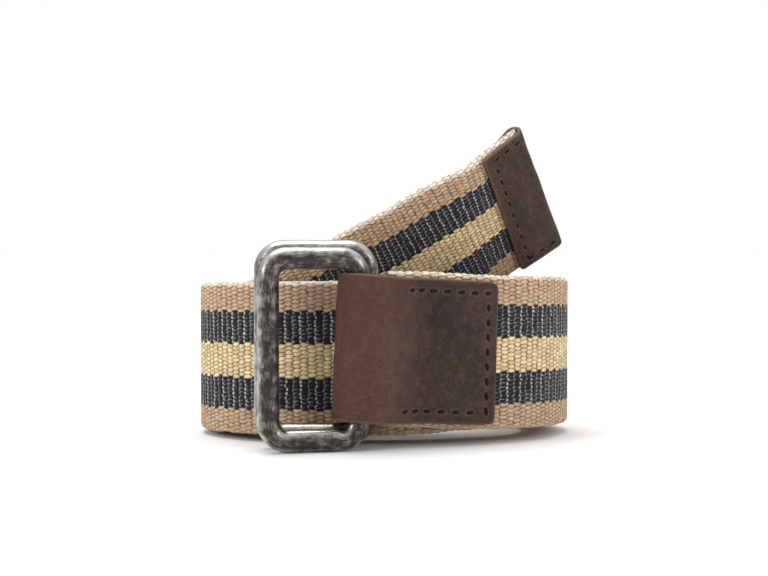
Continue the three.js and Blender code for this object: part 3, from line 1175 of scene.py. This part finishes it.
@dataclass
class Tab:
    """The leather tab: one strip from inside the strap, round the ring bars, and back along the front."""

    height: float = 35.2
    thickness: float = 2.0
    gap: float = 0.3
    reach: float = 0.0825
    fold_x: float = -7.0
    fold_radius: float = 6.9
    bulge_ends_at: float = 9.0
    corner_radius: float = 2.5
    lift: tuple[tuple[float, float], ...] = ((-14.0, 4.0), (4.0, 2.8), (26.0, 1.9))
    lean: Range = (0.045, 0.026)
    shift: Range = (0.6, -0.45)
    step: float = 0.42
    edge_depth: float = 0.7
    edge_power: float = 0.5
    end_rounding: float = 0.5
    waves: tuple[tuple[float, float, int], ...] = ((0.10, 15.0, 11), (0.04, 4.0, 12))
    red_and_sheen_until: Range = (-4.0, 9.0)
    redness: float = 0.80
    stitch_inset: float = 2.7
    stitch_length: float = 1.9
    stitch_width: float = 0.74
    stitch_sunk: float = 0.24
    dimple_radius: float = 0.55
    dimple_depth: float = 0.42

    def middle_height(self, x: Array, y: Array) -> Array:
        """Height of the tab's middle over the floor."""
        return PLAN.edge_height(y) + PLAN.strap_width / 2 + read_table(self.lift, x)

    def centre_line(self) -> Track:
        """Runs along the inner layer to the fold, round it, and along the front layer to its right end.

        The strip's top is sheared to the right, by the lean times the height, more at the fold. The
        whole strip is shifted to the right at the fold, and to the left towards its free end.

        Returns:
            The framed line.
        """
        layer = Strap.thickness / 2 + self.gap + self.thickness / 2
        back_y = PLAN.point(np.array([0.0]), -layer)[0, 1]
        fold_y = back_y - self.fold_radius
        turn_per_mm = 1.0 / (2.0 * math.pi * (PLAN.half_length + PLAN.spread))
        fold_turn = self.fold_x * turn_per_mm
        bulge = PLAN.point(np.array([fold_turn]), layer)[0, 1] - (fold_y - self.fold_radius)
        back_steps = 300
        fold_steps = 300
        front_steps = 500
        clear_of_fold = 0.3
        back = PLAN.point(np.linspace(self.reach, 0.0, back_steps), -layer)
        angle = np.linspace(math.pi, 0.0, fold_steps)
        fold = np.stack([self.fold_x - self.fold_radius * np.sin(angle),
                         fold_y - self.fold_radius * np.cos(angle), 0.0 * angle], 1)
        front = PLAN.point(np.linspace(fold_turn, self.reach, front_steps), layer)
        front[:, 1] -= bulge * (1.0 - ease(front[:, 0], self.fold_x, self.bulge_ends_at))
        points = np.vstack([back, fold, front[front[:, 0] > self.fold_x + clear_of_fold]])
        points[:, 2] = self.middle_height(points[:, 0], points[:, 1])
        line = Track.through(points, np.zeros(len(points)), level=True)
        towards_end = ease(points[:, 0], self.fold_x, self.bulge_ends_at)
        lean = self.lean[0] + (self.lean[1] - self.lean[0]) * towards_end
        line.across[:, 0] += lean
        line.points[:, 0] += self.shift[0] + (self.shift[1] - self.shift[0]) * towards_end
        return line

    def stitches(self, total: float) -> StitchRun:
        """Three sides of a rectangle near the front layer's free end.

        Args:
            total: the strip's length, which ends at that free end.

        Returns:
            The run.
        """
        top = self.height / 2 - 3.0
        near = total - self.stitch_inset
        return StitchRun.joined(
            StitchRun.line((near - 21.3, top), (near - 0.3, top), 7),
            StitchRun.line((near, top - 3.5), (near, -top + 0.4), 8),
            StitchRun.line((near - 22.6, -top), (near - 4.3, -top), 6),
        )

    def build(self) -> tuple[bpy.types.Object, bpy.types.Object]:
        """Sweeps the hide and lays its stitches.

        The half height falls by the arc of the corner near each free end, and the thickness by a quarter
        circle in the last half millimetre, so the cut edges are eased. The front face is uneven in slow
        waves, each with a depth, a wave length and a seed.

        Returns:
            The tab and its stitches.
        """
        line = self.centre_line()
        total = line.travel[-1]
        ends = 0.5 * (1.0 - np.cos(np.linspace(0.0, math.pi / 2, 6)))
        ends = np.concatenate([ends, np.arange(0.8, self.corner_radius, 0.3)])
        middle = np.arange(self.corner_radius, total - self.corner_radius, self.step)
        travel = np.concatenate([ends, middle, total - ends[::-1]])
        line = line.at(travel)
        section = Section.strip(self.thickness / 2, self.height / 2, self.edge_depth,
                                self.edge_power, face_places=61, edge_places=7)
        from_end = np.minimum(travel, total - travel)[:, None]
        inside = np.maximum(0.0, self.corner_radius - from_end)
        drop = self.corner_radius - np.sqrt(self.corner_radius ** 2 - inside ** 2)
        half = self.height / 2 - drop
        side = section.side * half / (self.height / 2)
        fullness = np.sqrt(1.0 - (1.0 - np.clip(from_end / self.end_rounding, 0.0, 1.0)) ** 2)
        run = self.stitches(total)
        front = section.out > 0.0
        near = run.dimples(travel[:, None], side, self.dimple_radius) * front
        uneven = sum(depth * ripples(travel[:, None] / wave, side / wave, seed)
                     for depth, wave, seed in self.waves)
        out = (section.out + uneven * front - self.dimple_depth * near) * fullness
        edge_distance = np.minimum(half - np.abs(side), from_end)
        x = line.points[:, 0:1]
        # red tone and painted sheen near the fold, for the hide attribute
        fold_red_and_sheen = (1.0 - ease(x, *self.red_and_sheen_until)) * np.ones_like(side) * self.redness
        hide = np.stack([edge_distance, fold_red_and_sheen, near], -1)
        tab = surface("tab_leather", line.sweep(out, side), {"hide": hide})
        sewn = stitch_meshes("tab_stitches", line, run, self.thickness / 2 - self.stitch_sunk,
                             self.stitch_length, self.stitch_width)
        return tab, sewn


@dataclass
class Tip:
    """The leather tip: a strip folded over the end of the webbing, which twists a little along it."""

    strap: Strap
    thickness: float = 1.1
    gap: float = 0.3
    side_inset: float = 0.25
    back_inset: float = 1.1
    back_narrows: Range = (0.55, 0.75)
    corner_radius: float = 0.9
    step: float = 0.34
    edge_depth: float = 0.4
    edge_power: float = 0.55
    end_rounding: float = 0.35
    wave_depth: float = 0.07
    wave_length: float = 11.0
    # where the painted highlight along the fold lies, and how wide it is
    fold_highlight_before_middle: float = 1.1
    fold_highlight_width: float = 0.8
    redness: float = 0.10
    end_redness: float = 0.22
    end_red_until: float = 4.5
    fold_highlight_redness: float = 0.2
    stitch_inset: float = 3.0
    stitch_length: float = 1.9
    stitch_width: float = 0.50
    stitch_sunk: float = 0.15
    dimple_radius: float = 0.45
    dimple_depth: float = 0.25

    def centre_line(self) -> Track:
        """Runs out along the front layer, round the fold and back, at the fold's radius from the strap.

        Returns:
            The framed line, leaning as the strap does at each distance.
        """
        radius = self.strap.thickness / 2 + self.gap + self.thickness / 2
        straight = self.strap.tip_length - self.thickness / 2 - radius
        out_run = np.linspace(0.0, straight, 200)
        angle = np.linspace(0.0, math.pi, 160)
        distance = np.concatenate([out_run, straight + radius * np.sin(angle[1:]), out_run[::-1][1:]])
        turn = np.concatenate([0.0 * out_run, angle[1:], math.pi + 0.0 * out_run[1:]])
        forward = unit(np.array(self.strap.tip_direction))
        start = np.array(self.strap.tail[-1][:3])
        first_lean = self.strap.tail[-1][3]
        lean_change = self.strap.tip_end_lean_deg - first_lean
        lean = np.radians(first_lean + lean_change * distance / self.strap.tip_length)[:, None]
        upright = unit(np.array([0.0, 0.0, 1.0]) - forward * forward[2])
        across = upright * np.cos(lean) + np.cross(forward, upright) * np.sin(lean)
        face = np.cross(forward, across)
        points = start + distance[:, None] * forward + face * (radius * np.cos(turn))[:, None]
        normal = face * np.cos(turn)[:, None] + forward * np.sin(turn)[:, None]
        lengths = np.linalg.norm(np.diff(points, axis=0), axis=1)
        travel = np.concatenate([[0.0], np.cumsum(lengths)])
        return Track(points, np.cross(across, normal), across, normal, travel)

    def build(self) -> tuple[bpy.types.Object, bpy.types.Object]:
        """Sweeps the hide and lays three sides of a rectangle of stitches on both of its faces.

        The corners, the back layer's narrower width, the eased ends and the uneven face are made as on
        the tab. A painted highlight runs along the fold, a little before the middle of the strip.

        Returns:
            The tip and its stitches.
        """
        line = self.centre_line()
        total = line.travel[-1]
        ends = self.end_rounding * (1.0 - np.cos(np.linspace(0.0, math.pi / 2, 5)))
        travel = np.concatenate([ends, np.arange(0.6, total - 0.5, self.step), total - ends[::-1]])
        line = line.at(travel)
        half_width = PLAN.strap_width / 2 - self.side_inset
        section = Section.strip(self.thickness / 2, half_width, self.edge_depth,
                                self.edge_power, face_places=61, edge_places=5)
        from_end = np.minimum(travel, total - travel)[:, None]
        inside = np.maximum(0.0, self.corner_radius - from_end)
        behind = ease(travel, total * self.back_narrows[0], total * self.back_narrows[1])[:, None]
        drop = self.corner_radius - np.sqrt(np.maximum(0.0, self.corner_radius ** 2 - inside ** 2))
        half = half_width - drop - self.back_inset * behind
        side = section.side * half / half_width
        fullness = np.sqrt(1.0 - (1.0 - np.clip(from_end / self.end_rounding, 0.0, 1.0)) ** 2)
        high = half_width - 2.2
        lines = []
        for row, inward in ((self.stitch_inset, 1.0), (total - self.stitch_inset, -1.0)):
            lines.append(StitchRun.line((row, high - 3.2), (row, -high + 0.5), 9))
            for level in (high, -high):
                lines.append(StitchRun.line((row + inward * 0.9, level), (row + inward * 8.1, level), 3))
        run = StitchRun.joined(*lines)
        front = section.out > 0.0
        near = run.dimples(travel[:, None], side, self.dimple_radius) * front
        uneven = self.wave_depth * ripples(travel[:, None] / self.wave_length, side / self.wave_length, 21)
        out = (section.out + uneven * front - self.dimple_depth * near) * fullness
        edge_distance = np.minimum(half - np.abs(side), from_end)
        # painted highlight along the fold: a pale, redder line, carried as a near cut edge in the hide
        # attribute
        from_fold_highlight = travel - total / 2 + self.fold_highlight_before_middle
        fold_highlight = np.exp(-(from_fold_highlight / self.fold_highlight_width) ** 2)
        at_end = 1.0 - ease(travel, 0.0, self.end_red_until)
        redness = self.redness + self.end_redness * at_end + self.fold_highlight_redness * fold_highlight
        edge_and_fold_highlight = np.minimum(edge_distance, 1.0 - fold_highlight[:, None])
        hide = np.stack(np.broadcast_arrays(edge_and_fold_highlight, redness[:, None], near), -1)
        tip = surface("tip_leather", line.sweep(out, side), {"hide": hide})
        sewn = stitch_meshes("tip_stitches", line, run, self.thickness / 2 - self.stitch_sunk,
                             self.stitch_length, self.stitch_width)
        return tip, sewn


# The rings


@dataclass
class Ring:
    """A rectangular ring of round bar, held at its right-hand bar."""

    name: str
    width: float
    height: float
    bar_x: float
    bar_y: float
    centre_z: float
    open_deg: float
    seed: int
    bar: float = 5.3
    outer_corner: float = 7.3
    around: int = 36
    along: int = 260
    corner_places: int = 18
    unevenness: float = 0.015

    def build(self) -> bpy.types.Object:
        """Carries a circle round a rectangle with round corners, and leaves it a little uneven.

        The bar's radius varies by a hundredth and a half along and around it, as on cast metal.

        Returns:
            The ring.
        """
        radius = self.bar / 2
        half_width = self.width / 2 - radius
        half_height = self.height / 2 - radius
        bend = self.outer_corner - radius
        angles = []
        centres = []
        for corner, (side_x, side_z) in enumerate(((1, 1), (-1, 1), (-1, -1), (1, -1))):
            turn = (math.pi / 2) * (corner + np.linspace(0.0, 1.0, self.corner_places))
            middle = np.array([side_x * (half_width - bend), side_z * (half_height - bend)])
            centres.append(middle + bend * np.stack([np.cos(turn), np.sin(turn)], 1))
            angles.append(turn)
        corners = np.vstack(centres + [centres[0][:1]])
        turn = np.concatenate(angles + [np.array([2.0 * math.pi])])
        lengths = np.linalg.norm(np.diff(corners, axis=0), axis=1)
        travel = np.concatenate([[0.0], np.cumsum(lengths)])
        behind_fold = self.height / 2 - self.outer_corner
        at = np.mod(np.linspace(0.0, travel[-1], self.along, endpoint=False) - behind_fold, travel[-1])
        middle = np.stack([np.interp(at, travel, corners[:, i]) for i in range(2)], 1)
        facing = np.interp(at, travel, turn)
        outward = np.stack([np.cos(facing), 0.0 * facing, np.sin(facing)], 1)
        around = np.linspace(0.0, 2.0 * math.pi, self.around, endpoint=False)
        loop = 2.0 * math.pi * at / travel[-1]
        waves_along = 3.0
        waves_around = 0.3
        uneven = ripples(np.cos(loop)[:, None] * waves_along + np.sin(around) * waves_around,
                         np.sin(loop)[:, None] * waves_along + np.cos(around) * waves_around, self.seed)
        girth = radius * (1.0 + self.unevenness * uneven)
        bar_middle = np.stack([middle[:, 0], 0.0 * at, middle[:, 1]], 1)[:, None, :]
        in_plane = outward[:, None, :] * (girth * np.cos(around))[..., None]
        through = np.array([0.0, 1.0, 0.0]) * (girth * np.sin(around))[..., None]
        x, y, z = np.moveaxis(bar_middle + (in_plane + through), -1, 0)
        x = x - half_width
        swing = math.radians(self.open_deg)
        turned = np.stack([x * math.cos(swing) - y * math.sin(swing) + self.bar_x,
                           x * math.sin(swing) + y * math.cos(swing) + self.bar_y,
                           z + self.centre_z], -1)
        length = np.linspace(0.0, travel[-1], len(at))[:, None]
        bar = np.stack(np.broadcast_arrays(radius * np.cos(around), radius * np.sin(around), length), -1)
        # how far the bar faces up: where the metal gets its painted top highlight
        facing_up = np.maximum(0.0, outward[:, 2:3] * np.cos(around))[..., None] * np.ones(3)
        return surface(self.name, turned, {"bar": bar, "facing_up": facing_up}, closed=True)


# Stage


@dataclass
class Studio:
    """The camera of the photograph, a pale floor and plain soft light."""

    lens: float = 77.34
    camera_place: tuple[float, float, float] = (-0.0002, -0.4281, 0.0490)
    camera_pitch_deg: float = 88.5
    aim_at: tuple[float, float, float] = (0.0, 0.0, 0.03)
    floor_size: float = 6.0
    floor_depth: float = 0.0002
    floor_colour: tuple[float, float, float] = (0.90, 0.90, 0.90)
    sky_front: float = 0.10
    sky_low: float = 0.34
    sky_high: float = 0.92

    def camera(self) -> None:
        """Puts the camera at the photograph's place."""
        eye = bpy.data.cameras.new("camera")
        eye.lens = self.lens
        eye.sensor_width = 36.0
        eye.clip_start = 0.01
        made = bpy.data.objects.new("camera", eye)
        made.location = self.camera_place
        made.rotation_euler = (math.radians(self.camera_pitch_deg), 0.0, 0.0)
        bpy.context.scene.collection.objects.link(made)
        bpy.context.scene.camera = made

    def lamp(self, name: str, kind: str, energy: float, place: tuple[float, float, float],
             **settings: object) -> None:
        """Adds a lamp that points at the belt.

        Args:
            name: the lamp's name.
            kind: AREA or SUN.
            energy: its strength.
            place: where it is.
            settings: its other values.
        """
        light = bpy.data.lights.new(name, kind)
        light.energy = energy
        for key, value in settings.items():
            setattr(light, key, value)
        made = bpy.data.objects.new(name, light)
        made.location = place
        aim = np.array(self.aim_at) - np.array(place)
        tilt = math.atan2(math.hypot(aim[0], aim[1]), -aim[2])
        turn = math.atan2(aim[1], aim[0]) - math.pi / 2
        made.rotation_euler = (tilt, 0.0, turn)
        bpy.context.scene.collection.objects.link(made)

    def floor(self) -> None:
        """Lays a wide pale floor, with a faint unevenness in its paint."""
        size = self.floor_size
        corners = np.array([[-size, -size, 0.0], [size, -size, 0.0], [size, size, 0.0], [-size, size, 0.0]])
        below = np.array([0.0, 0.0, self.floor_depth])
        made = make_object("studio_floor", corners - below, np.array([[0, 1, 2, 3]]))
        paint, desk, shader = new_material("pale floor")
        shade = desk.noise(desk.place(), 3.0)
        desk.feed(shader.inputs["Base Color"], desk.tint(self.floor_colour, desk.span(shade, 0.98, 1.02)))
        shader.inputs["Roughness"].default_value = 0.9
        shader.inputs["Specular IOR Level"].default_value = 0.1
        made.data.materials.append(paint)

    def light(self) -> None:
        """Sets the lamps, and a world bright overhead, dim low down and in front, and white when seen."""
        self.lamp("top_light", "SUN", 1.6, (-0.12, 0.25, 1.0), angle=math.radians(40.0))
        self.lamp("side_left", "AREA", 4.4, (-0.90, -0.62, 0.50), size=0.40)
        self.lamp("side_right", "AREA", 3.0, (0.92, -0.50, 0.42), size=0.40)
        world = bpy.data.worlds.new("studio")
        world.use_nodes = True
        desk = NodeDesk(world.node_tree)
        back = world.node_tree.nodes["Background"]
        back.inputs["Color"].default_value = WHITE
        path = desk.node("ShaderNodeLightPath")
        facing = desk.node("ShaderNodeSeparateXYZ")
        desk.feed(facing.inputs[0], desk.node("ShaderNodeTexCoord").outputs["Generated"])
        around = desk.span(desk.step(facing.outputs["Y"], -0.95, -0.35), self.sky_front, self.sky_low)
        overhead = desk.times(desk.step(facing.outputs["Z"], 0.05, 0.80), self.sky_high - self.sky_low)
        seen = path.outputs["Is Camera Ray"]
        glow = desk.times(desk.plus(around, overhead), desk.minus(1.0, seen))
        desk.feed(back.inputs["Strength"], desk.plus(glow, seen))
        bpy.context.scene.world = world
        bpy.context.scene.view_settings.view_transform = "Standard"

    def build(self) -> None:
        """Makes the whole stage."""
        self.camera()
        self.light()
        self.floor()


def main() -> None:
    """Builds the belt's pieces in order, dresses them and sets the stage."""
    logging.basicConfig(level=logging.INFO, format="%(name)s: %(message)s")
    groups = SharedGroups()
    webbing = WebbingFinish().material(groups)
    leather = LeatherFinish().material(groups)
    pewter = PewterFinish().material(groups)
    thread = ThreadFinish().material(groups)

    Studio().build()
    strap = Strap()
    settle(strap.build(), webbing, "root", Slot.WEBBING, "webbing")
    tab, tab_stitches = Tab().build()
    settle(tab, leather, "root", Slot.LEATHER, "leather_tab")
    settle(tab_stitches, thread, "root", Slot.LEATHER)
    tip, tip_stitches = Tip(strap).build()
    settle(tip, leather, "root", Slot.LEATHER, "leather_tip")
    settle(tip_stitches, thread, "root", Slot.LEATHER)
    ring_back = Ring("pewter_ring_back", width=30.0, height=49.4, bar_x=-6.2, bar_y=-38.25,
                     centre_z=25.45, open_deg=0.0, seed=31)
    settle(ring_back.build(), pewter, "ring_back", Slot.METAL, "ring_back")
    ring_front = Ring("pewter_ring_front", width=27.4, height=48.5, bar_x=-8.4, bar_y=-43.5,
                      centre_z=24.25, open_deg=10.0, seed=32)
    settle(ring_front.build(), pewter, "ring_front", Slot.METAL, "ring_front")


if __name__ == "__main__":
    main()
